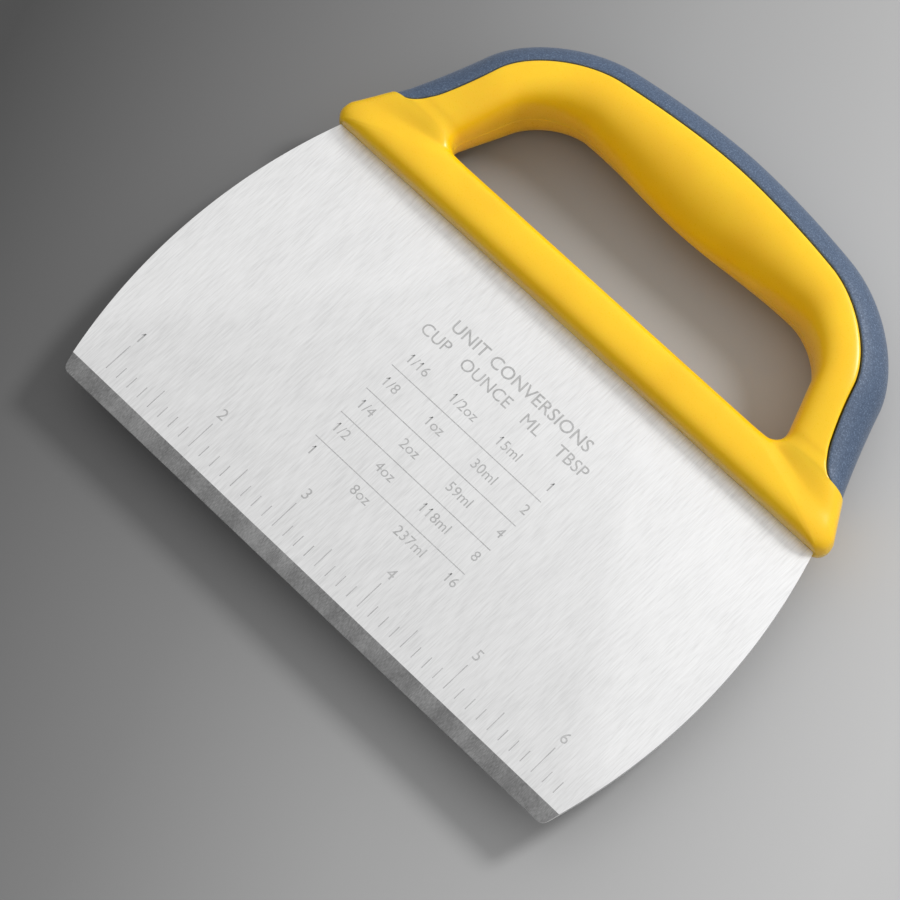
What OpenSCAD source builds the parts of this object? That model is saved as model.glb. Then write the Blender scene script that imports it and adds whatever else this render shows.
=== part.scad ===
// Bench scraper: a ground steel blade pinned in a hollow loop handle of two
// moulded shells. A soft pad on a rigid carrier closes the outside of the loop.
// Drawn with the cutting edge on the X axis and the blade's mid-plane at z = 0,
// then moved so that the origin is the bottom centre of the bounding box.

/* [Blade] */
// Length of the straight cutting edge
edge_len = 143; // [115:1:175]
// Height of blade between the cutting edge and the handle
blade_reach = 82.2; // [65:0.1:105]
// Width of the blade where it enters the handle
blade_top_w = 141; // [120:1:172]
// How far each side bows out past the line between its ends
side_bow = 6.2; // [1:0.1:9]
// Thickness of the sheet steel
blade_t = 1; // [0.6:0.1:1.4]
// Radius of the two corners of the cutting edge
edge_corner_r = 1.8; // [0.5:0.1:3.5]
// Width of the bevel ground on the front face
bevel_w = 3.9; // [2:0.1:7]
// Thickness left at the cutting edge
edge_land = 0.3; // [0.1:0.05:0.5]

/* [Tang] */
// Depth of the tang inside the handle
tang_depth = 8; // [7:0.1:9]
// Step from the blade's side to each end of the tang
tang_inset = 8; // [5:0.5:12]
// Number of pins through the tang
pin_count = 4; // [2:1:6]
// Diameter of each pin
pin_d = 4; // [3:0.1:4.5]
// Length of each pin
pin_len = 7.6; // [6:0.1:8]
// Distance from the handle's lip to the line of pins
pin_up = 4.6; // [4:0.1:5]

/* [Handle loop] */
// Height of the bar that grips the blade
bar_h = 11; // [9.5:0.1:14]
// Height of the hand opening at its centre
opening_h = 22.4; // [18:0.1:30]
// Width of the hand opening along its lower side
opening_w = 100.8; // [80:0.1:104]
// Depth of the grip at the centre of the loop
grip_depth = 23.6; // [20:0.1:30]
// Height of the two finger hollows over the opening's centre
finger_rise = 2; // [0:0.1:3]
// Lean of the opening's sides
opening_lean = 20.8; // [15:0.1:28]
// Reach of each wing tip past the blade
tip_reach = 1.8; // [0.5:0.1:3]
// Height of the shoulder where the pad ends, above the lip
shoulder_up = 12.2; // [12:0.1:15]

/* [Thickness of the handle] */
// Thickness of the bar that grips the blade
bar_t = 13; // [11:0.1:15]
// Thickness of the two posts
post_t = 20.4; // [15:0.1:22]
// Thickness of the grip
grip_t = 21; // [17:0.1:28]
// Wall of the hollow shells
wall = 2.4; // [1.6:0.1:3]

/* [Grip pad] */
// Depth of the pad over the outside of the loop
pad_depth = 7.2; // [6.5:0.1:9]
// Gap between the pad and the shells
pad_gap = 0.3; // [0.1:0.05:0.5]
// Step of the pad below the shells' surface
pad_step = 0.4; // [0:0.05:0.8]
// Thickness of the soft skin
skin_t = 1.4; // [0.8:0.1:2]
// Wall of the carrier under the skin
carrier_t = 1.6; // [1.2:0.1:2.4]
// Thickness of the rib that holds the carrier between the shells
rib_t = 2; // [1.4:0.1:3]
// Thickness of the bead along the rib
bead_t = 4; // [3.4:0.1:5]

/* [Locating pegs] */
// Diameter of the pegs that line up the two shells
peg_d = 3; // [2:0.1:4]
// Length of each peg past the joint plane
peg_len = 3; // [2:0.1:4]

/* [Hidden] */

fit = 0.02;                     // radial clearance of a seated pin or peg
running = 0.05;                 // radial clearance of the tang's holes
slack = 0.3;                    // clearance round the tang, the rib and the ends of bores
over = 1;                       // how far a cut runs past what it cuts
blend = 0.55;                   // how round a corner curve is, 0 to 1
lip_trim = 0.4;                 // how much of the bar's round edge the lip cuts off
post_taper = 6;                 // how much narrower a post is at the top of the opening
turn_drop = 3.15;               // height of the crest over the points where the top turns down

lip_y = blade_reach;
sill_y = lip_y + bar_h;         // lower side of the opening
brow_y = sill_y + opening_h;    // upper side of the opening, at its centre
crest_y = brow_y + grip_depth;  // top of the loop
half_top = blade_top_w / 2;
tip_x = half_top + tip_reach;
post_w = tip_x + 1.4 - opening_w / 2; // post width at the sill, before the lean

// ---- Curves -------------------------------------------------------------

function cubic(c, u) = c[0] * pow(1 - u, 3) + c[1] * 3 * u * pow(1 - u, 2)
                     + c[2] * 3 * u * u * (1 - u) + c[3] * pow(u, 3);
function straight(a, b) = [a, a + (b - a) / 3, b - (b - a) / 3, b];
function corner(a, p, b) = [a, a + (p - a) * blend, b + (p - b) * blend, b];
function mix(a, b, u) = a + (b - a) * u;
// The two parts of a cubic curve, before and after u
function split(c, u) =
    let (l = mix(c[0], c[1], u), m = mix(c[1], c[2], u), r = mix(c[2], c[3], u),
         lm = mix(l, m, u), mr = mix(m, r, u), middle = mix(lm, mr, u))
    [[c[0], l, lm, middle], [middle, mr, r, c[3]]];
// Smooth curve through a list of values, between number k and the next
function slope(v, k) = k == 0 || k == len(v) - 1 || (v[k + 1] - v[k]) * (v[k] - v[k - 1]) <= 0
    ? 0 : (v[k + 1] - v[k - 1]) / 2;
function glide(v, k, u) =
    v[k] * (2 * pow(u, 3) - 3 * u * u + 1) + v[k + 1] * (3 * u * u - 2 * pow(u, 3))
    + slope(v, k) * (pow(u, 3) - 2 * u * u + u) + slope(v, k + 1) * (pow(u, 3) - u * u);

// ---- Outlines of the loop, right half, from the bar to the crest ---------

// A point on the opening's side line, at height y above the sill
function side(y) = [opening_w / 2 - y * tan(opening_lean), sill_y + y];

outer_foot = [tip_x - 3.2, lip_y - lip_trim];
outer_tip = [tip_x, lip_y + 4.4];
outer_shoulder = [tip_x - 4.8, lip_y + shoulder_up];
outer_post = [side(opening_h).x + post_w - post_taper, brow_y];
outer_turn = [outer_post.x * 0.555, crest_y - turn_drop];

brow_corner = [side(opening_h + finger_rise).x - 0.2, brow_y + finger_rise];
sill_start = [opening_w / 2 - 5.2, sill_y];
sill_bend = split(corner(sill_start, side(0), side(4.6)), 0.5);
post_line = split(corner(outer_shoulder,
    mix(outer_shoulder, outer_post, 0.42) + [-0.8, 0], outer_post), 0.2);

outer_curves = [
    straight([0, outer_foot.y], outer_foot),
    corner(outer_foot, [tip_x + 1.7, outer_foot.y], outer_tip),
    straight(outer_tip, outer_shoulder),
    post_line[0],
    post_line[1],
    corner(outer_post, [outer_post.x - 5.5, crest_y - 7.1], outer_turn),
    corner(outer_turn, [outer_turn.x * 0.48, crest_y], [0, crest_y])
];
inner_curves = [
    straight([0, sill_y], sill_start - [6.2, 0]),
    straight(sill_start - [6.2, 0], sill_start),
    sill_bend[0],
    sill_bend[1],
    straight(side(4.6), side(opening_h - 6.6)),
    corner(side(opening_h - 6.6), brow_corner, brow_corner - [10.3, 0]),
    [brow_corner - [10.3, 0], brow_corner - [22, 0], [12, brow_y], [0, brow_y]]
];
steps = [3, 5, 2, 4, 5, 7, 6];  // stations along each curve
shoulder_curve = 3;             // the curve on which the pad starts
last_curve = len(steps) - 1;

// Half thickness and crest position at the curves' ends
half_ts = [bar_t, bar_t, bar_t - 0.6, (bar_t + post_t) / 2 - 1.9, (bar_t + post_t) / 2 - 0.7,
           post_t, grip_t, grip_t] / 2;
crests = [0.45, 0.45, 0.45, 0.48, 0.4, 0.365, 0.5, 0.6];
// Exponent of the section's super-ellipse there: the higher, the flatter its face
squares = [3.2, 3.2, 3.2, 3, 2.5, 2.2, 2.2, 2.2];

// ---- Stations: [outer point, inner point, half thickness, crest, exponent] ----

function station(k, u) = [
    cubic(outer_curves[k], u), cubic(inner_curves[k], u),
    glide(half_ts, k, u), glide(crests, k, u), glide(squares, k, u)
];
function flip(p) = [-p.x, p.y];
function mirrored(s) = [flip(s[0]), flip(s[1]), s[2], s[3], s[4]];
function half_run(k0) = [for (k = [k0:last_curve], i = [0:steps[k] - 1])
    station(k, i / steps[k])];
function joined(run, ends) = concat(run, [station(last_curve, 1)],
    [for (i = [len(run) - 1:-1:ends]) mirrored(run[i])]);

loop_stations = joined(half_run(0), 1);
pad_stations = joined(half_run(shoulder_curve), 0);

// Height of the loop's surface at share f of the way from inner to outer
function rise(s, f) =
    let (g = pow(max(f, 0), ln(0.5) / ln(s[3])))
    s[2] * pow(max(0, 1 - pow(abs(2 * g - 1), s[4])), 1 / s[4]);
function span(s) = norm(s[0] - s[1]);
// A point at distance d in from the outer outline
function inward(s, d) = mix(s[0], s[1], d / span(s));

// ---- Sweeps ---------------------------------------------------------------

// Skin over a list of equal rings; closed joins the last ring to the first
module skin(rings, closed) {
    n = len(rings);
    m = len(rings[0]);
    last = closed ? n - 1 : n - 2;
    walls = [for (i = [0:last], j = [0:m - 1])
        let (i2 = (i + 1) % n, j2 = (j + 1) % m)
        each [[i * m + j, i * m + j2, i2 * m + j2], [i * m + j, i2 * m + j2, i2 * m + j]]];
    ends = closed ? [] : [[for (j = [m - 1:-1:0]) j], [for (j = [0:m - 1]) (n - 1) * m + j]];
    polyhedron([for (r = rings) each r], concat(walls, ends), convexity = 8);
}

ring_n = 12;
function bow(j, n) = (1 - cos(180 * j / n)) / 2;
function at(s, f, z) = let (p = mix(s[1], s[0], f)) [p.x, p.y, z];

// Front half of the loop's surface, closed by the joint plane
module half_loop() {
    skin([for (s = loop_stations)
        [for (j = [ring_n:-1:0]) let (f = bow(j, ring_n)) at(s, f, rise(s, f))]], true);
}

// Whole loop, sunk by d below the outer surface
module whole_loop(d) {
    skin([for (s = loop_stations) let (e = d / span(s), t = (s[2] - d) / s[2])
        [for (j = [2 * ring_n - 1:-1:0])
            let (g = bow(j, ring_n), f = mix(e, 1 - e, g))
            at(s, f, (j <= ring_n ? 1 : -1) * t * rise(s, g))]], true);
}

// Flat strip along the pad, from distance a to distance b in from the outline.
// Its corners lie midway between stations.
function strip_side(d, short) =
    [for (i = [short:len(pad_stations) - 2 - short])
        (inward(pad_stations[i], d) + inward(pad_stations[i + 1], d)) / 2];
function strip(a, b, short) =
    let (near = strip_side(a, short), far = strip_side(b, short))
    concat(near, [for (i = [len(far) - 1:-1:0]) far[i]]);

slot_short = 1;                 // stations that the rib's slot stops short at each end

// The seam's depth in from the outline: a level leg of length seam_leg at each
// shoulder, then a turn up the post over the distance seam_turn
seam_leg = 4.2;
seam_turn = 7.5;
function travel(i) = i <= 0 ? 0 : travel(i - 1) + norm(pad_stations[i][0] - pad_stations[i - 1][0]);
function seam_depth(i) =
    let (u = min(travel(min(i, len(pad_stations) - 1 - i)) / seam_turn, 1))
    mix(seam_leg, pad_depth, sqrt(1 - pow(1 - u, 2)));

// Zone that the pad fills, clear of the seam by a gap. Its corners lie midway
// between stations, so none is on an edge of the loop's surface.
module pad_zone(gap, h) {
    s = pad_stations;
    far = crest_y + 10 * over;
    out = (inward(s[0], -3 * over) + inward(s[1], -3 * over)) / 2;
    edge = [for (i = [0:len(s) - 2])
        (inward(s[i], seam_depth(i) - gap) + inward(s[i + 1], seam_depth(i + 1) - gap)) / 2];
    translate([0, 0, -h])
        linear_extrude(2 * h)
            polygon(concat([out], edge, [flip(out), [-2 * tip_x, out.y + 6],
                [-2 * tip_x, far], [2 * tip_x, far], [2 * tip_x, out.y + 6]]));
}

// ---- Blade ------------------------------------------------------------------

// The side arc passes through both ends of the side and bows out by side_bow
side_a = [edge_len / 2, 0];
side_b = [half_top, lip_y];
side_chord = norm(side_b - side_a);
side_r = (pow(side_chord / 2, 2) + side_bow * side_bow) / (2 * side_bow);
side_out = [side_b.y - side_a.y, side_a.x - side_b.x] / side_chord;
side_c = (side_a + side_b) / 2 - side_out * (side_r - side_bow);
corner_c = [side_c.x + sqrt(pow(side_r - edge_corner_r, 2) - pow(edge_corner_r - side_c.y, 2)),
            edge_corner_r];
function arc(c, r, a, b, n) = [for (i = [0:n]) c + r * [cos(mix(a, b, i / n)), sin(mix(a, b, i / n))]];
function angle_to(c, p) = atan2(p.y - c.y, p.x - c.x);
blade_side = concat(
    arc(corner_c, edge_corner_r, -90, angle_to(side_c, corner_c), 6),
    arc(side_c, side_r, angle_to(side_c, corner_c) + 0.5, angle_to(side_c, side_b), 30));

function pin_x(i) = (i - (pin_count - 1) / 2) * (blade_top_w - 2 * tang_inset - 4 * pin_d) / (pin_count - 1);
pin_y = lip_y + pin_up;

module tang_plan(grow) {
    w = half_top - tang_inset + grow;
    translate([-w, lip_y - over])
        square([2 * w, tang_depth + over + grow]);
}

module blade() {
    color([0.80, 0.80, 0.81])
    difference() {
        union() {
            translate([0, 0, -blade_t / 2])
                linear_extrude(blade_t)
                    polygon(concat(blade_side, [for (i = [len(blade_side) - 1:-1:0]) flip(blade_side[i])]));
            translate([0, 0, -blade_t / 2])
                linear_extrude(blade_t)
                    tang_plan(0);
        }
        // bevel ground on the front face
        rotate([90, 0, 90])
            translate([0, 0, -edge_len])
                linear_extrude(2 * edge_len)
                    polygon([[-over, blade_t], [-over, edge_land - blade_t / 2 - over * (blade_t - edge_land) / bevel_w],
                             [bevel_w, blade_t / 2], [bevel_w, blade_t]]);
        for (i = [0:pin_count - 1])
            translate([pin_x(i), pin_y, -blade_t])
                cylinder(d = pin_d + 2 * running, h = 2 * blade_t, $fn = 48);
    }
}

module tang_pin(i) {
    chamfer = 0.4;
    color([0.62, 0.63, 0.65])
    translate([pin_x(i), pin_y, -pin_len / 2])
        rotate_extrude($fn = 48)
            polygon([[0, 0], [pin_d / 2 - chamfer, 0], [pin_d / 2, chamfer],
                     [pin_d / 2, pin_len - chamfer], [pin_d / 2 - chamfer, pin_len], [0, pin_len]]);
}

// ---- Shells -----------------------------------------------------------------

// Pockets between solid webs, as [curve, u] at each end; the left side mirrors the right
pocket_ends = [[[4, 0.3], [5, 0.1]], [[5, 0.36], [6, 0.3]]];
pocket_steps = 6;
middle_end = [6, 0.52];
function place(e) = station(floor(e[0]), e[1]);
function along(a, b, i) = let (v = mix(a[0] + a[1], b[0] + b[1], i / pocket_steps), k = min(floor(v), last_curve))
    station(k, v - k);

// Ring of a pocket: vertical sides and a ceiling one wall below the surface
function pocket_ring(s) =
    let (f0 = wall / span(s), f1 = 1 - (pad_depth + wall) / span(s), n = 6)
    concat([at(s, f1, -over)], [for (j = [n:-1:0]) let (f = mix(f0, f1, bow(j, n)))
        at(s, f, max(over, rise(s, f) - wall))], [at(s, f0, -over)]);
module pockets() {
    for (e = pocket_ends) {
        run = [for (i = [0:pocket_steps]) along(e[0], e[1], i)];
        skin([for (s = run) pocket_ring(s)], false);
        skin([for (i = [pocket_steps:-1:0]) pocket_ring(mirrored(run[i]))], false);
    }
    half = [for (i = [0:pocket_steps]) along(middle_end, [last_curve, 1], i)];
    run = concat(half, [for (i = [pocket_steps - 1:-1:0]) mirrored(half[i])]);
    skin([for (s = run) pocket_ring(s)], false);
}

// Depth at which the pad's bead ends, in from the outline
bead_end = pad_depth + wall + pad_gap + bead_t / 2;

// Pegs stand in the webs between the pockets, past the bead
web_middles = [[5, 0.23], [6, 0.41]];
module at_webs() {
    for (e = web_middles) {
        s = place(e);
        p = inward(s, max((pad_depth + wall + span(s)) / 2, bead_end + slack + peg_d / 2 + 5 * fit));
        for (x = [-p.x, p.x])
            translate([x, p.y, 0])
                children();
    }
}

// What the front half of the loop loses to the pad, the tang and the pins
module shell_cuts() {
    slot_h = rib_t / 2 + slack;
    pad_zone(0, 2 * grip_t);
    translate([0, 0, -over])
        linear_extrude(over + slot_h)
            polygon(strip(seam_leg - over, pad_depth + wall + over, slot_short));
    translate([0, 0, -over])
        linear_extrude(over + bead_t / 2 + slack)
            polygon(strip(pad_depth + wall, bead_end + slack, slot_short + 1));
    pockets();
    translate([-tip_x - over, lip_y - 5 * over, -over])
        cube([2 * (tip_x + over), 5 * over, grip_t]);
    translate([0, 0, -over])
        linear_extrude(over + blade_t / 2)
            tang_plan(slack);
    for (i = [0:pin_count - 1])
        translate([pin_x(i), pin_y, -over])
            cylinder(d = pin_d + 2 * fit, h = over + pin_len / 2 + slack, $fn = 48);
}

module shell() {
    difference() {
        half_loop();
        shell_cuts();
    }
}

module front_shell() {
    color([0.98, 0.78, 0.10]) {
        shell();
        at_webs()
            translate([0, 0, -peg_len])
                cylinder(d = peg_d, h = peg_len + over, $fn = 32);
    }
}

module rear_shell() {
    color([0.98, 0.78, 0.10])
    difference() {
        mirror([0, 0, 1])
            shell();
        at_webs()
            translate([0, 0, -peg_len - slack])
                cylinder(d = peg_d + 2 * fit, h = peg_len + slack + over, $fn = 32);
    }
}

// ---- Grip pad ---------------------------------------------------------------

// Layer of the pad from depth a to depth b below the outer surface
module pad_layer(a, b) {
    difference() {
        intersection() {
            whole_loop(a);
            pad_zone(pad_gap, grip_t);
        }
        whole_loop(b);
    }
}

module grip_skin() {
    color([0.30, 0.40, 0.53])
        pad_layer(pad_step, pad_step + skin_t);
}

module grip_carrier() {
    outside = pad_step + skin_t;
    reach = pad_depth + wall + pad_gap;
    color([0.20, 0.25, 0.32]) {
        pad_layer(outside, outside + carrier_t);
        translate([0, 0, -rib_t / 2])
            linear_extrude(rib_t)
                polygon(strip(outside + carrier_t / 2, reach + bead_t / 4, slot_short + 1));
        translate([0, 0, -bead_t / 2])
            linear_extrude(bead_t)
                polygon(strip(reach, reach + bead_t / 2, slot_short + 2));
    }
}

// ---- Assembly ---------------------------------------------------------------

module place_in_frame() {
    translate([0, -(crest_y - pad_step) / 2, grip_t / 2])
        children();
}

place_in_frame() {
    blade();
    front_shell();
    rear_shell();
    grip_carrier();
    grip_skin();
    for (i = [1:pin_count])
        tang_pin(i - 1);
}
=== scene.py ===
"""A bench scraper: a brushed steel blade with its scales and table, two yellow
handle shells and a spark-textured grip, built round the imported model.

The handle is drawn in millimetres: x from the middle, y up from the lip where the
blade enters it, and z out of the joint plane between the two shells.
"""
import math

import bmesh
import bpy
from mathutils import Matrix, Vector


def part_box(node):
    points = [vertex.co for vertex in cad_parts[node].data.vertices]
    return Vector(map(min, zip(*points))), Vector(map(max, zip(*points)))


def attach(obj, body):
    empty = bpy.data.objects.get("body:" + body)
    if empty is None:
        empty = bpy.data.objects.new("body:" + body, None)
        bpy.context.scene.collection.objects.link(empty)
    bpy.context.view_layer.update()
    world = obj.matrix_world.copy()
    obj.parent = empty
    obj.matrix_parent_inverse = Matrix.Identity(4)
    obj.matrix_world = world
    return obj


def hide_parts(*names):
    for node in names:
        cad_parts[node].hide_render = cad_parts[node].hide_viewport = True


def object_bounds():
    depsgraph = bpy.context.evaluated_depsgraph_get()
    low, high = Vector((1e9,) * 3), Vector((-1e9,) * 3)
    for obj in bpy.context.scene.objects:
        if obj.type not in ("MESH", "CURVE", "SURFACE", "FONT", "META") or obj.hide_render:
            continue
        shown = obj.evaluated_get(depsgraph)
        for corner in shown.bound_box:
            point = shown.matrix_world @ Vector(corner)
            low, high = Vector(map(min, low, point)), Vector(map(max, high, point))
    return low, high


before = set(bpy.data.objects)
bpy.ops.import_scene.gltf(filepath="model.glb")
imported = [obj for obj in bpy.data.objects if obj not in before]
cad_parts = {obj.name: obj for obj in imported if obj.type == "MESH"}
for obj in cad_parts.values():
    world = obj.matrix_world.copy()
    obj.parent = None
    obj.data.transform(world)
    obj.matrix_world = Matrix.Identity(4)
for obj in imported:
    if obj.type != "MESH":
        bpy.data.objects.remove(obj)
cad_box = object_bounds()
MM = 0.001

blade_low, blade_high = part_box("blade")
shell_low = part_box("front_shell")[0]
grip_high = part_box("grip_skin")[1]
EDGE_Y = blade_low.y
JOINT_Z = (blade_low.z + blade_high.z) / 2
LIP_Y = shell_low.y
ORIGIN = Vector((0, LIP_Y, JOINT_Z))


# ---- Camera -------------------------------------------------------------------

VIEW_AZIMUTH = math.radians(44.9)
VIEW_ELEVATION = math.radians(68.6)
VIEW_DISTANCE = 0.8463
AIM = Vector((0.35 * MM, EDGE_Y + 44.8 * MM, blade_high.z))

back = Vector((
    math.sin(VIEW_AZIMUTH) * math.cos(VIEW_ELEVATION),
    -math.cos(VIEW_AZIMUTH) * math.cos(VIEW_ELEVATION),
    math.sin(VIEW_ELEVATION),
))
camera = bpy.data.objects.new("camera", bpy.data.cameras.new("camera"))
bpy.context.scene.collection.objects.link(camera)
camera.data.sensor_width = 36
camera.data.lens = 160
camera.data.clip_start = 0.01
camera.location = AIM + back * VIEW_DISTANCE
camera.rotation_mode = "QUATERNION"
camera.rotation_quaternion = (-back).to_track_quat("-Z", "Y")
bpy.context.scene.camera = camera


# ---- Curves -------------------------------------------------------------------

BLEND = 0.55                    # how round a corner curve is, 0 to 1


def point(x, y):
    return Vector((x, y))


def mix(a, b, u):
    return a * (1 - u) + b * u


def cubic(c, u):
    return (c[0] * (1 - u) ** 3 + c[1] * (3 * u * (1 - u) ** 2)
            + c[2] * (3 * u * u * (1 - u)) + c[3] * u ** 3)


def straight(a, b):
    return [a, mix(a, b, 1 / 3), mix(a, b, 2 / 3), b]


def corner(a, p, b):
    return [a, mix(a, p, BLEND), mix(b, p, BLEND), b]


def split(c, u):
    """The two parts of a cubic curve, before and after u."""
    l1, m, r1 = mix(c[0], c[1], u), mix(c[1], c[2], u), mix(c[2], c[3], u)
    l2, r2 = mix(l1, m, u), mix(m, r1, u)
    middle = mix(l2, r2, u)
    return [c[0], l1, l2, middle], [middle, r2, r1, c[3]]


# ---- Outlines of the loop: right half, from the bar to the crest -----------------

PAD_STEP = 0.4
PAD_GAP = 0.3
SKIN = 1.4
SILL = 11.0
OPENING = 22.4
BROW = SILL + OPENING
CREST = (grip_high.y - LIP_Y) / MM + PAD_STEP
TIP_X = 72.3
HALF_OPENING = 50.4
LEAN = math.tan(math.radians(20.8))
POST = TIP_X + 1.4 - HALF_OPENING


def side(y):
    """Point on the opening's side line, y above the sill."""
    return point(HALF_OPENING - y * LEAN, SILL + y)


foot = point(TIP_X - 3.2, -0.4)
tip = point(TIP_X, 4.4)
shoulder = point(TIP_X - 4.8, 12.2)
post = point(side(OPENING).x + POST - 6, BROW)
turn = point(post.x * 0.555, CREST - 3.15)
brow_corner = point(side(OPENING + 2).x - 0.2, BROW + 2)
sill_bend = corner(point(HALF_OPENING - 5.2, SILL), side(0), side(4.6))
post_line = corner(shoulder, mix(shoulder, post, 0.42) + point(-0.8, 0), post)
low_post, high_post = split(post_line, 0.2)
low_bend, high_bend = split(sill_bend, 0.5)

OUTER = [
    straight(point(0, foot.y), foot),
    corner(foot, point(TIP_X + 1.7, foot.y), tip),
    straight(tip, shoulder),
    low_post,
    high_post,
    corner(post, point(post.x - 5.5, CREST - 7.1), turn),
    corner(turn, point(turn.x * 0.48, CREST), point(0, CREST)),
]
INNER = [
    straight(point(0, SILL), point(39, SILL)),
    straight(point(39, SILL), sill_bend[0]),
    low_bend,
    high_bend,
    straight(side(4.6), side(15.8)),
    corner(side(15.8), brow_corner, brow_corner - point(10.3, 0)),
    [brow_corner - point(10.3, 0), brow_corner - point(22, 0), point(12, BROW), point(0, BROW)],
]
STEPS = [8, 10, 8, 8, 16, 24, 22]
SHOULDER = 3                    # the curve on which the pad starts

# Half thickness, and how far the crest is from the opening, at the curves' ends
HALF_T = [6.5, 6.5, 6.2, 7.4, 8.0, 10.2, 10.5, 10.5]
PEAK = [0.45, 0.45, 0.45, 0.48, 0.40, 0.365, 0.50, 0.60]
SQUARE = [3.2, 3.2, 3.2, 3.0, 2.5, 2.2, 2.2, 2.2]       # how flat the section's face is


def eased(values, k, u):
    """Smooth curve through a list of values, between number k and the next."""
    a, b = values[k], values[k + 1]
    before = values[max(k - 1, 0)]
    after = values[min(k + 2, len(values) - 1)]
    slope_a, slope_b = (b - before) / 2, (after - a) / 2
    if k == 0 or (b - a) * (a - before) <= 0:
        slope_a = 0
    if k == len(values) - 2 or (after - b) * (b - a) <= 0:
        slope_b = 0
    return (a * (2 * u ** 3 - 3 * u * u + 1) + b * (3 * u * u - 2 * u ** 3)
            + slope_a * (u ** 3 - 2 * u * u + u) + slope_b * (u ** 3 - u * u))


class Station:
    """One cross-section of the loop, from its outer outline to the opening."""

    def __init__(self, k, u):
        self.k, self.u = k, u
        self.outer, self.inner = cubic(OUTER[k], u), cubic(INNER[k], u)
        self.half, self.peak = eased(HALF_T, k, u), eased(PEAK, k, u)
        self.square = eased(SQUARE, k, u)
        self.along = 0          # distance past the shoulder, along the outline

    def mirrored(self):
        other = Station(self.k, self.u)
        other.outer = point(-self.outer.x, self.outer.y)
        other.inner = point(-self.inner.x, self.inner.y)
        other.along = self.along
        return other

    @property
    def span(self):
        return (self.outer - self.inner).length

    def at(self, depth, z):
        """Point at a depth in from the outer outline."""
        p = mix(self.outer, self.inner, depth / self.span)
        return ORIGIN + Vector((p.x, p.y, z)) * MM

    def rise(self, depth, sink=0):
        """Height of the surface at a depth, or of the same surface sunk by some."""
        margin = sink / self.span
        f = (1 - depth / self.span - margin) / (1 - 2 * margin)
        g = min(max(f, 0), 1) ** (math.log(0.5) / math.log(self.peak))
        return (self.half - sink) * max(0, 1 - abs(2 * g - 1) ** self.square) ** (1 / self.square)

    def depth(self, f, sink=0):
        margin = sink / self.span
        return (1 - margin - f * (1 - 2 * margin)) * self.span


half_run = [Station(k, i / n) for k, n in enumerate(STEPS) for i in range(n)]
half_run.append(Station(len(STEPS) - 1, 1))
shoulder_at = sum(STEPS[:SHOULDER])
for a, b in zip(half_run[shoulder_at:], half_run[shoulder_at + 1:]):
    b.along = a.along + (b.outer - a.outer).length


# ---- The seam between the shells and the pad --------------------------------------

SEAM = 7.2                      # depth of the seam on the posts and the grip
SEAM_START = 4.2                # length of its level leg at each shoulder
SEAM_TURN = 7.5                 # distance over which it turns up the post


def seam_depth(s):
    u = min(s.along / SEAM_TURN, 1)
    return SEAM_START + (SEAM - SEAM_START) * math.sqrt(1 - (1 - u) ** 2)


# ---- Materials ----------------------------------------------------------------------


class Paint:
    """A material with one Principled shader, built up by short calls."""

    def __init__(self, name, **inputs):
        self.material = bpy.data.materials.new(name)
        self.material.use_nodes = True
        self.tree = self.material.node_tree
        self.shader = self.tree.nodes["Principled BSDF"]
        for key, value in inputs.items():
            self.shader.inputs[key.replace("_", " ")].default_value = value
        self.place = self.tree.nodes.new("ShaderNodeTexCoord").outputs["Object"]

    def link(self, a, b):
        self.tree.links.new(a, b)

    def noise(self, scale, detail=2.0, roughness=0.5, stretch=(1, 1, 1)):
        """Noise whose cells are 1/scale metres across, longer where stretch is larger."""
        mapping = self.tree.nodes.new("ShaderNodeMapping")
        mapping.inputs["Scale"].default_value = [scale / s for s in stretch]
        node = self.tree.nodes.new("ShaderNodeTexNoise")
        node.inputs["Scale"].default_value = 1
        node.inputs["Detail"].default_value = detail
        node.inputs["Roughness"].default_value = roughness
        self.link(self.place, mapping.inputs["Vector"])
        self.link(mapping.outputs["Vector"], node.inputs["Vector"])
        return node.outputs["Fac"]

    def math(self, kind, a, b):
        node = self.tree.nodes.new("ShaderNodeMath")
        node.operation = kind
        for socket, value in zip(node.inputs, (a, b)):
            if isinstance(value, (int, float)):
                socket.default_value = value
            else:
                self.link(value, socket)
        return node.outputs[0]

    def ramp(self, fac, stops):
        node = self.tree.nodes.new("ShaderNodeValToRGB")
        elements = node.color_ramp.elements
        while len(elements) < len(stops):
            elements.new(1)
        for element, (at, colour) in zip(elements, stops):
            element.position = at
            element.color = (*colour, 1)
        self.link(fac, node.inputs["Fac"])
        return node.outputs["Color"]

    def range(self, fac, low, high, to_low, to_high):
        node = self.tree.nodes.new("ShaderNodeMapRange")
        for key, value in (("From Min", low), ("From Max", high), ("To Min", to_low), ("To Max", to_high)):
            node.inputs[key].default_value = value
        self.link(fac, node.inputs["Value"])
        return node.outputs["Result"]

    def bump(self, height, strength, distance):
        node = self.tree.nodes.new("ShaderNodeBump")
        node.inputs["Strength"].default_value = strength
        node.inputs["Distance"].default_value = distance
        self.link(height, node.inputs["Height"])
        if self.shader.inputs["Normal"].is_linked:
            self.link(self.shader.inputs["Normal"].links[0].from_socket, node.inputs["Normal"])
        self.link(node.outputs["Normal"], self.shader.inputs["Normal"])

    def colour(self, socket):
        self.link(socket, self.shader.inputs["Base Color"])

    def roughness(self, socket):
        self.link(socket, self.shader.inputs["Roughness"])


def greys(*stops):
    """Stops for a ramp of plain greys, each given as its place and its grey."""
    return [(at, (grey, grey, grey)) for at, grey in stops]


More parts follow.
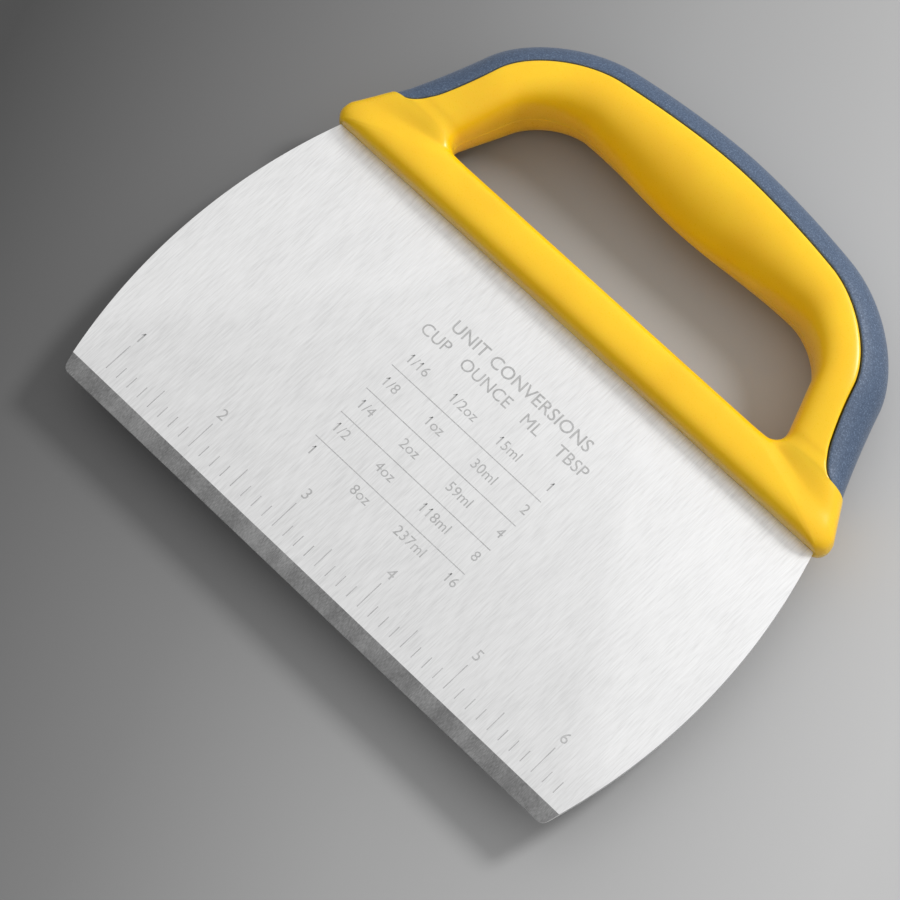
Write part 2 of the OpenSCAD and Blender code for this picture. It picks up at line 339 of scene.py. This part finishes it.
def steel_sheet():
    """Sheet steel brushed along Y: short fine lines over a slow, faint variation."""
    p = Paint("brushed_steel", Metallic=1.0, Roughness=0.5, Anisotropic=0.35)
    tangent = p.tree.nodes.new("ShaderNodeTangent")
    tangent.direction_type = "UV_MAP"
    tangent.uv_map = "along_grain"
    p.link(tangent.outputs["Tangent"], p.shader.inputs["Tangent"])
    fine = p.noise(4200, 2, 0.6, (1, 22, 1))
    broad = p.noise(2000, 2, 0.5, (1, 9, 1))
    cloud = p.noise(160, 2, 0.5, (1, 2.5, 1))
    grain = p.math("ADD", p.math("MULTIPLY", fine, 0.55), p.math("MULTIPLY", broad, 0.45))
    tone = p.math("ADD", p.math("MULTIPLY", grain, 0.85), p.math("MULTIPLY", cloud, 0.15))
    p.colour(p.ramp(tone, greys((0.36, 0.74), (0.5, 0.83), (0.64, 0.90))))
    p.roughness(p.range(grain, 0.35, 0.65, 0.55, 0.44))
    p.bump(grain, 0.3, 0.00004)
    return p.material


def bevel_with_painted_reflection():
    """The bevel: a darker base colour as painted reflection of a dim surround, with fine grinding lines
    across it.
    """
    p = Paint("ground_bevel_painted_reflection", Metallic=1.0, Roughness=0.42)
    lines = p.noise(6500, 2, 0.6, (1, 40, 1))
    patches = p.noise(220, 2, 0.5, (1, 3, 1))
    tone = p.math("ADD", p.math("MULTIPLY", lines, 0.6), p.math("MULTIPLY", patches, 0.4))
    # painted reflection: these low greys stand in for the darker surroundings that the bevel reflects; the
    # lines are real grinding marks
    p.colour(p.ramp(tone, greys((0.36, 0.17), (0.5, 0.25), (0.66, 0.36))))
    p.roughness(p.range(lines, 0.3, 0.7, 0.48, 0.36))
    return p.material


def etched_marks(name, tone):
    """Marks etched by a laser: dull grey, slightly broken up by the brushing."""
    p = Paint(name, Metallic=0.6, Roughness=0.6)
    wear = p.noise(3800, 3, 0.6, (1, 14, 1))
    p.colour(p.ramp(wear, greys((0.35, tone * 0.85), (0.62, tone * 1.15))))
    return p.material


def satin_yellow():
    """Moulded satin plastic: golden, with faint flow and a fine eggshell surface."""
    p = Paint("yellow_plastic", Roughness=0.3)
    p.shader.inputs["Subsurface Weight"].default_value = 0.2
    p.shader.inputs["Subsurface Radius"].default_value = (0.003, 0.0016, 0.0002)
    p.shader.inputs["Subsurface Scale"].default_value = 1.0
    flow = p.noise(60, 2, 0.5)
    p.colour(p.ramp(flow, [(0.35, (0.96, 0.55, 0.004)), (0.65, (1.0, 0.60, 0.006))]))
    skin = p.noise(3500, 2, 0.5)
    p.roughness(p.range(skin, 0.35, 0.65, 0.27, 0.34))
    p.bump(skin, 0.1, 0.00002)
    return p.material


def spark_blue():
    """Soft-touch plastic with a fine spark texture: smoother high points with a painted glint in a lighter
    colour, and a painted shade in its hollows.
    """
    p = Paint("blue_grip", Roughness=0.55)
    p.shader.inputs["Sheen Weight"].default_value = 0.15
    p.shader.inputs["Sheen Roughness"].default_value = 0.4
    spark = p.noise(3000, 2, 0.7)
    speck = p.noise(1500, 1, 0.5)
    # partly a real speckle of tone, partly painted light: the colour is lighter on the texture's high
    # points (painted glint) and darker in its hollows (painted shade)
    hollow_painted_shade, middle, peak = (0.035, 0.058, 0.105), (0.062, 0.098, 0.165), (0.15, 0.21, 0.31)
    p.colour(p.ramp(spark, [(0.3, hollow_painted_shade), (0.55, middle), (0.72, peak)]))
    p.roughness(p.range(spark, 0.35, 0.7, 0.62, 0.42))
    p.bump(speck, 0.4, 0.0001)
    p.bump(spark, 0.5, 0.00008)
    return p.material


def plain_carrier():
    p = Paint("carrier_plastic", Roughness=0.5)
    tone = p.noise(900, 2, 0.5)
    p.colour(p.ramp(tone, [(0.3, (0.03, 0.045, 0.075)), (0.7, (0.05, 0.07, 0.11))]))
    return p.material


def pin_turned():
    p = Paint("turned_steel", Metallic=1.0, Roughness=0.35)
    rings = p.noise(5000, 2, 0.5, (12, 12, 1))
    p.colour(p.ramp(rings, [(0.3, (0.5, 0.5, 0.52)), (0.7, (0.66, 0.66, 0.68))]))
    return p.material


def floor_with_painted_shade():
    """Floor with painted shade: its colour runs from dark at the far left to pale at the right."""
    p = Paint("floor_with_painted_falloff", Roughness=0.8)
    slope = p.tree.nodes.new("ShaderNodeVectorMath")
    slope.operation = "DOT_PRODUCT"
    slope.inputs[1].default_value = (0.93, 0.37, 0)
    p.link(p.place, slope.inputs[0])
    fade = p.range(slope.outputs["Value"], -0.14, 0.10, 0, 1)
    # painted shade: these greys darken the floor towards the far left in place of a fall-off of light
    p.colour(p.ramp(fade, greys((0, 0.06), (0.38, 0.21), (0.6, 0.34), (1, 0.50))))
    return p.material


brushed_steel = steel_sheet()
ground_bevel_painted_reflection = bevel_with_painted_reflection()
light_etching = etched_marks("light_etching", 0.46)
dark_etching = etched_marks("dark_etching", 0.30)
yellow_plastic = satin_yellow()
blue_grip = spark_blue()
carrier_plastic = plain_carrier()
turned_steel = pin_turned()
floor_with_painted_falloff = floor_with_painted_shade()


# ---- Mesh helpers -----------------------------------------------------------------


def loft(bm, rings, closed):
    """Bridges a list of equal rings of points, and closes the ends of an open one."""
    loops = []
    for ring in rings:
        verts = [bm.verts.new(p) for p in ring]
        edges = [bm.edges.new((a, b)) for a, b in zip(verts, verts[1:] + verts[:1])]
        loops.append((verts, edges))
    pairs = list(zip(loops, loops[1:]))
    if closed:
        pairs.append((loops[-1], loops[0]))
    for (_, a), (_, b) in pairs:
        bmesh.ops.bridge_loops(bm, edges=a + b)
    if not closed:
        for verts, _ in (loops[0], loops[-1]):
            bm.faces.new(verts)


def finished(name, bm, smooth_angle=35, clean=True):
    """Makes a mesh a piece on the body, first joining its doubles if it is one surface."""
    if clean:
        bmesh.ops.remove_doubles(bm, verts=bm.verts, dist=1e-6)
        bmesh.ops.dissolve_degenerate(bm, edges=bm.edges, dist=1e-7)
        bmesh.ops.recalc_face_normals(bm, faces=bm.faces)
    mesh = bpy.data.meshes.new(name)
    bm.to_mesh(mesh)
    bm.free()
    mesh.shade_smooth()
    mesh.set_sharp_from_angle(angle=math.radians(smooth_angle))
    piece = bpy.data.objects.new(name, mesh)
    bpy.context.scene.collection.objects.link(piece)
    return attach(piece, "root")


def bow(j, n):
    return (1 - math.cos(math.pi * j / n)) / 2


# ---- Shells -------------------------------------------------------------------------

JOINT_R = 0.14                  # rounding of the shells along their joint
SEAM_R = 0.55                   # rounding of the shells along the seam
SURFACE_POINTS = 22
SEAM_BEND = (0, 0.25, 0.5, 0.75, 1)     # steps round the curve at a rounded edge
NO_CUT = 0.01                   # a cut shallower than this leaves the section whole


def shell_ring(s, cut, front):
    """Half section of the loop, from the opening to a wall at depth cut."""
    edge = min(SEAM_R, cut * 0.6)
    flat = cut + edge
    first = 1 - flat / s.span
    points = [(s.span - JOINT_R, 0), (s.span, JOINT_R)]
    for j in range(1, SURFACE_POINTS):
        f = bow(j, SURFACE_POINTS) if cut < NO_CUT else first * bow(j, 1.6 * SURFACE_POINTS) / bow(1, 1.6)
        d = s.depth(f)
        points.append((d, max(s.rise(d), JOINT_R)))
    if cut < NO_CUT:
        points += [(cut, JOINT_R)] * len(SEAM_BEND)
    else:
        top, side_z = s.rise(flat), s.rise(cut)
        start, peak, end = Vector((flat, top)), Vector((cut, side_z)), Vector((cut, side_z - edge))
        for u in SEAM_BEND:
            p = mix(mix(start, peak, u), mix(peak, end, u), u)
            points.append((p.x, p.y))
    points += [(cut, JOINT_R), (cut + JOINT_R, 0)]
    return [s.at(d, front * z) for d, z in points]


def lip_cut(s):
    """Depth at which a station below the shoulder is cut level with the lip."""
    down = s.inner.y - s.outer.y
    if s.outer.y >= 0 or down <= 0:
        return 0
    return -s.outer.y / down * s.span


def make_shell(node, front):
    """One shell of the handle, finely rounded along the joint; front is 1 or -1."""
    run = []
    for i, s in enumerate(half_run):
        if i < shoulder_at:
            run.append((s, lip_cut(s)))
        elif i == shoulder_at:
            run += [(s, 0), (s, seam_depth(s))]
        else:
            run.append((s, seam_depth(s)))
    run += [(s.mirrored(), cut) for s, cut in run[-2:0:-1]]
    bm = bmesh.new()
    loft(bm, [shell_ring(s, cut, front) for s, cut in run], True)
    piece = finished(node + "_body", bm)
    piece.data.materials.append(yellow_plastic)
    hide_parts(node)


# ---- Grip ---------------------------------------------------------------------------

GRIP_R = 0.8                    # rounding of the skin's edge along the seam
GRIP_POINTS = 16


def grip_ring(s, inset):
    """C-shaped section of the skin, drawn in by inset towards its end faces."""
    reach = max(seam_depth(s) - PAD_GAP, PAD_STEP + SKIN + 1)
    top = PAD_STEP + inset
    edge_at = reach - inset
    outside = []
    flat = edge_at - GRIP_R
    for j in range(GRIP_POINTS + 1):
        d = top + (flat - top) * (1 - math.cos(math.pi / 2 * j / GRIP_POINTS))
        outside.append((d, s.rise(d, top)))
    start = Vector(outside[-1])
    peak = Vector((edge_at, s.rise(edge_at, top)))
    end = peak - Vector((0, GRIP_R))
    for u in SEAM_BEND[1:]:
        p = mix(mix(start, peak, u), mix(peak, end, u), u)
        outside.append((p.x, p.y))
    inner_top = top + SKIN
    inside = [(edge_at, s.rise(edge_at, inner_top))]
    for j in range(8, -1, -1):
        d = inner_top + (edge_at - inner_top) * j / 9 if j else inner_top
        inside.append((d, s.rise(d, inner_top)))
    front = outside[1:] + inside[:-1]
    rear = [(d, -z) for d, z in reversed(front)]
    return [s.at(d, z) for d, z in [(top, 0)] + front + [(inner_top, 0)] + rear]


def make_grip():
    pad = half_run[shoulder_at:]
    run = [(pad[0], GRIP_R)] + [(s, 0) for s in pad]
    run += [(s.mirrored(), inset) for s, inset in run[-2::-1]]
    bm = bmesh.new()
    loft(bm, [grip_ring(s, inset) for s, inset in run], False)
    piece = finished("grip_skin_body", bm)
    piece.data.materials.append(blue_grip)
    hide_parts("grip_skin")


# ---- Blade --------------------------------------------------------------------------

THICK = (blade_high.z - blade_low.z) / MM
REACH = (LIP_Y - EDGE_Y) / MM
EDGE_HALF = 71.5
TOP_HALF = 70.5
SIDE_BOW = 6.2
CORNER_R = 1.8
BEVEL = 3.9
LAND = 0.3
TANG_HALF = 62.5
TANG_DEPTH = (blade_high.y - LIP_Y) / MM
EDGE_BREAK = 0.07               # rounding of the sheet's edges
HOLE_GAP = 0.05                 # gap round each pin in the tang


def arc(centre, radius, start, end, n):
    angles = [start + (end - start) * i / n for i in range(n + 1)]
    return [centre + radius * Vector((math.cos(a), math.sin(a))) for a in angles]


def blade_outline():
    """Right side of the blade, from the cutting edge to the end of the tang."""
    a, b = point(EDGE_HALF, 0), point(TOP_HALF, REACH)
    chord = (b - a).length
    radius = ((chord / 2) ** 2 + SIDE_BOW ** 2) / (2 * SIDE_BOW)
    out = point(b.y - a.y, a.x - b.x) / chord
    centre = (a + b) / 2 - out * (radius - SIDE_BOW)
    drop = CORNER_R - centre.y
    bend = point(centre.x + math.sqrt((radius - CORNER_R) ** 2 - drop ** 2), CORNER_R)
    leave = math.atan2(bend.y - centre.y, bend.x - centre.x)
    arrive = math.atan2(b.y - centre.y, b.x - centre.x)
    return (arc(bend, CORNER_R, -math.pi / 2, leave, 8)
            + arc(centre, radius, leave, arrive, 64)[1:]
            + [point(TANG_HALF, REACH), point(TANG_HALF, REACH + TANG_DEPTH)])


def on_blade(x, y, z=0.0):
    """Point in the blade's own millimetres: y from the cutting edge, z from its middle."""
    return Vector((x * MM, EDGE_Y + y * MM, JOINT_Z + z * MM))


def make_blade():
    right = blade_outline()
    left = [point(-p.x, p.y) for p in reversed(right)]
    bm = bmesh.new()
    verts = [bm.verts.new(on_blade(p.x, p.y, -THICK / 2)) for p in right + left]
    for a, b in zip(verts, verts[1:] + verts[:1]):
        bm.edges.new((a, b))
    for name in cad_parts:
        if name.startswith("tang_pin"):
            low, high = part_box(name)
            centre, hole_r = (low + high) / 2, (high.x - low.x) / 2 + HOLE_GAP * MM
            spot = Matrix.Translation((centre.x, centre.y, verts[0].co.z))
            bmesh.ops.create_circle(bm, segments=32, radius=hole_r, matrix=spot)
    bmesh.ops.triangle_fill(bm, edges=bm.edges, use_beauty=True)
    bmesh.ops.bisect_plane(
        bm, geom=bm.verts[:] + bm.edges[:] + bm.faces[:],
        plane_co=on_blade(0, BEVEL), plane_no=(0, 1, 0))
    sheet = bmesh.ops.extrude_face_region(bm, geom=bm.faces[:])
    top = [v for v in sheet["geom"] if isinstance(v, bmesh.types.BMVert)]
    for v in top:
        share = min((v.co.y - EDGE_Y) / (BEVEL * MM), 1)
        v.co.z += (LAND + (THICK - LAND) * share) * MM
    bmesh.ops.recalc_face_normals(bm, faces=bm.faces)
    outline = [e for e in bm.edges if e.is_manifold and e.calc_face_angle(0) > math.radians(50)
               and max(v.co.y for v in e.verts) < LIP_Y + MM]
    bmesh.ops.bevel(bm, geom=outline, offset=EDGE_BREAK * MM, segments=2, profile=0.5,
                    affect="EDGES", material=-1, clamp_overlap=True)
    bm.faces.ensure_lookup_table()
    layer = bm.loops.layers.uv.new("along_grain")
    for face in bm.faces:
        centre = face.calc_center_median()
        face.normal_update()
        tilted = 0.6 < face.normal.z < 0.995
        face.material_index = 1 if tilted and centre.y < EDGE_Y + BEVEL * MM else 0
        for loop in face.loops:
            loop[layer].uv = (loop.vert.co.x / 0.1, loop.vert.co.y / 0.1)
    piece = finished("blade_sheet", bm, smooth_angle=18)
    piece.data.materials.append(brushed_steel)
    piece.data.materials.append(ground_bevel_painted_reflection)
    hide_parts("blade")


# ---- Marks etched on the blade ------------------------------------------------------

MARK_RISE = 0.015               # how proud an etched mark stands
LINE = 0.22                     # width of an etched line
INCH = 25.4
FIRST_MARK = 6.6                # distance of each scale's first mark from the corner
END_MARGIN = 3                  # clear space after each scale's last mark


class Face:
    """Front or reverse of the blade, with x to the reader's right."""

    def __init__(self, front):
        self.front = front

    def matrix(self, x, y, sx, sy):
        turn = Matrix.Identity(4) if self.front else Matrix.Rotation(math.pi, 4, "Y")
        place = Matrix.Translation((x * MM, EDGE_Y + y * MM, THICK / 2 * MM))
        scale = Matrix.Diagonal((sx * MM, sy * MM, 2 * MARK_RISE * MM, 1))
        return Matrix.Translation((0, 0, JOINT_Z)) @ turn @ place @ scale


def line(bm, face, x0, y0, x1, y1):
    w, h = max(x1 - x0, LINE), max(y1 - y0, LINE)
    bmesh.ops.create_cube(bm, size=1, matrix=face.matrix((x0 + x1) / 2, (y0 + y1) / 2, w, h))


def outlines(words, bold):
    """A mesh of the words in the built-in font, one unit thick."""
    curve = bpy.data.curves.new("words", "FONT")
    curve.body, curve.offset = words, bold
    curve.extrude = 0.5
    curve.resolution_u = 4
    holder = bpy.data.objects.new("words", curve)
    bpy.context.scene.collection.objects.link(holder)
    bpy.context.view_layer.update()
    mesh = bpy.data.meshes.new_from_object(holder)
    bpy.data.objects.remove(holder)
    bpy.data.curves.remove(curve)
    return mesh


def right_end(words):
    mesh = outlines(words, 0)
    end = max(v.co.x for v in mesh.vertices)
    bpy.data.meshes.remove(mesh)
    return end


def lettering(bm, face, words, x, y, height, align=0.5, bold=0.0, width=1.0):
    """Words with capitals of one height, on a baseline at y. Each 1 gets a flag."""
    mesh = outlines("H", 0)
    capital = max(v.co.y for v in mesh.vertices)
    bpy.data.meshes.remove(mesh)
    mesh = outlines(words, bold)
    scale = height / capital
    shift = -align * max(v.co.x for v in mesh.vertices)
    place = face.matrix(x, y, width * scale, scale) @ Matrix.Translation((shift, 0, 0))
    mesh.transform(place)
    bm.from_mesh(mesh)
    bpy.data.meshes.remove(mesh)
    for i, letter in enumerate(words):
        if letter == "1":
            corner_x = right_end(words[:i + 1]) - 0.04 * capital
            flag = [(0, 1), (-0.25, 0.74), (-0.25, 0.64), (0, 0.84)]
            rings = [[bm.verts.new(place @ Vector((corner_x + u * capital, v * capital, h)))
                      for u, v in flag] for h in (-0.5, 0.5)]
            bm.faces.new(rings[0][::-1])
            bm.faces.new(rings[1])
            for j in range(4):
                k = (j + 1) % 4
                bm.faces.new((rings[0][j], rings[0][k], rings[1][k], rings[1][j]))


def finished_marks(name, bm, paint):
    piece = finished(name, bm, clean=False)
    piece.data.shade_flat()
    piece.data.materials.append(paint)


def make_scale(name, face, paint, pitch, ticks, foot, long_tick, figure_at, figure_height):
    """Numbered marks, with shorter ticks between: ticks gives their heights in order."""
    bm = bmesh.new()
    start = -EDGE_HALF + FIRST_MARK
    for i in range(int((2 * EDGE_HALF - FIRST_MARK) / pitch) + 1):
        x = start + i * pitch
        line(bm, face, x, foot, x, foot + long_tick)
        lettering(bm, face, str(i + 1), x, figure_at, figure_height)
        for j, tick in enumerate(ticks):
            at = x + pitch * (j + 1) / (len(ticks) + 1)
            if at < EDGE_HALF - END_MARGIN:
                line(bm, face, at, foot, at, foot + tick)
    finished_marks(name, bm, paint)


TABLE = [
    ("1/16", "1/2oz", "15ml", "1"),
    ("1/8", "1oz", "30ml", "2"),
    ("1/4", "2oz", "59ml", "4"),
    ("1/2", "4oz", "118ml", "8"),
    ("1", "8oz", "237ml", "16"),
]
COLUMNS = [(-21.2, 0), (-8.4, 0), (8.8, 0.5), (21.0, 0.5)]
HEADINGS = [("CUP", -20.0), ("OUNCE", -5.1), ("ML", 8.5), ("TBSP", 20.4)]
TITLE_Y, HEADINGS_Y, ROWS_Y, LINES_Y = 64.6, 59.7, 52.65, 49.93
ROW_PITCH, LINE_PITCH = 7.37, 7.59
LINE_HALF = 22.3


def make_table():
    bm = bmesh.new()
    face = Face(True)
    lettering(bm, face, "UNIT CONVERSIONS", 0.8, TITLE_Y, 2.9, bold=0.005, width=1.02)
    for word, x in HEADINGS:
        lettering(bm, face, word, x, HEADINGS_Y, 2.8)
    for i, row in enumerate(TABLE):
        for words, (x, align) in zip(row, COLUMNS):
            lettering(bm, face, words, x, ROWS_Y - ROW_PITCH * i, 2.35, align)
        if i:
            y = LINES_Y - LINE_PITCH * (i - 1)
            line(bm, face, -LINE_HALF, y, LINE_HALF, y)
    finished_marks("volume_table", bm, light_etching)


# ---- Build --------------------------------------------------------------------------

make_shell("front_shell", 1)
make_shell("rear_shell", -1)
make_grip()
make_blade()
make_scale("inch_scale", Face(True), light_etching, INCH,
           [3.1, 3.1, 3.1, 5.2, 3.1, 3.1, 3.1], 6.3, 7.2, 15.2, 2.6)
make_scale("centimetre_scale", Face(False), dark_etching, 10, [3.0], 4.5, 6.5, 12.2, 2.8)
make_table()

for name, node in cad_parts.items():
    if name.startswith("tang_pin"):
        node.data.materials.clear()
        node.data.materials.append(turned_steel)
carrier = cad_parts["grip_carrier"]
carrier.data.materials.clear()
carrier.data.materials.append(carrier_plastic)


# ---- Floor and light ----------------------------------------------------------------


FLOOR_GAP = 0.2 * MM            # space between the floor and the scraper
FLOOR_HALF = 3.0


def make_floor():
    bm = bmesh.new()
    bmesh.ops.create_grid(bm, x_segments=1, y_segments=1, size=FLOOR_HALF)
    mesh = bpy.data.meshes.new("floor")
    bm.to_mesh(mesh)
    bm.free()
    floor = bpy.data.objects.new("floor", mesh)
    floor.location.z = cad_box[0].z - FLOOR_GAP
    mesh.materials.append(floor_with_painted_falloff)
    bpy.context.scene.collection.objects.link(floor)


def area_light(name, direction, distance, size, power):
    """A soft lamp that shines on the scraper from a direction."""
    lamp = bpy.data.lights.new(name, "AREA")
    lamp.shape, lamp.size, lamp.energy = "DISK", size, power
    holder = bpy.data.objects.new(name, lamp)
    towards = Vector(direction).normalized()
    holder.location = AIM + towards * distance
    holder.rotation_mode = "QUATERNION"
    holder.rotation_quaternion = (-towards).to_track_quat("-Z", "Y")
    bpy.context.scene.collection.objects.link(holder)


def make_world():
    """A dome that is bright overhead and behind the handle, and dim in front."""
    world = bpy.data.worlds.new("studio")
    world.use_nodes = True
    bpy.context.scene.world = world
    nodes, links = world.node_tree.nodes, world.node_tree.links
    place = nodes.new("ShaderNodeTexCoord")
    along = nodes.new("ShaderNodeVectorMath")
    along.operation = "DOT_PRODUCT"
    along.inputs[1].default_value = (0.1, 0.55, 0.83)
    spread = nodes.new("ShaderNodeMapRange")
    spread.inputs["From Min"].default_value = -0.4
    ramp = nodes.new("ShaderNodeValToRGB")
    low, high = ramp.color_ramp.elements
    low.position, low.color = 0.1, (0.11, 0.11, 0.115, 1)
    high.position, high.color = 0.72, (0.95, 0.95, 0.95, 1)
    links.new(place.outputs["Generated"], along.inputs[0])
    links.new(along.outputs["Value"], spread.inputs["Value"])
    links.new(spread.outputs["Result"], ramp.inputs["Fac"])
    links.new(ramp.outputs["Color"], nodes["Background"].inputs["Color"])
    nodes["Background"].inputs["Strength"].default_value = 0.85


make_floor()
make_world()
area_light("key", (0.3, 0.75, 0.7), 1.0, 0.25, 5.5)
bpy.context.scene.view_settings.view_transform = "Standard"
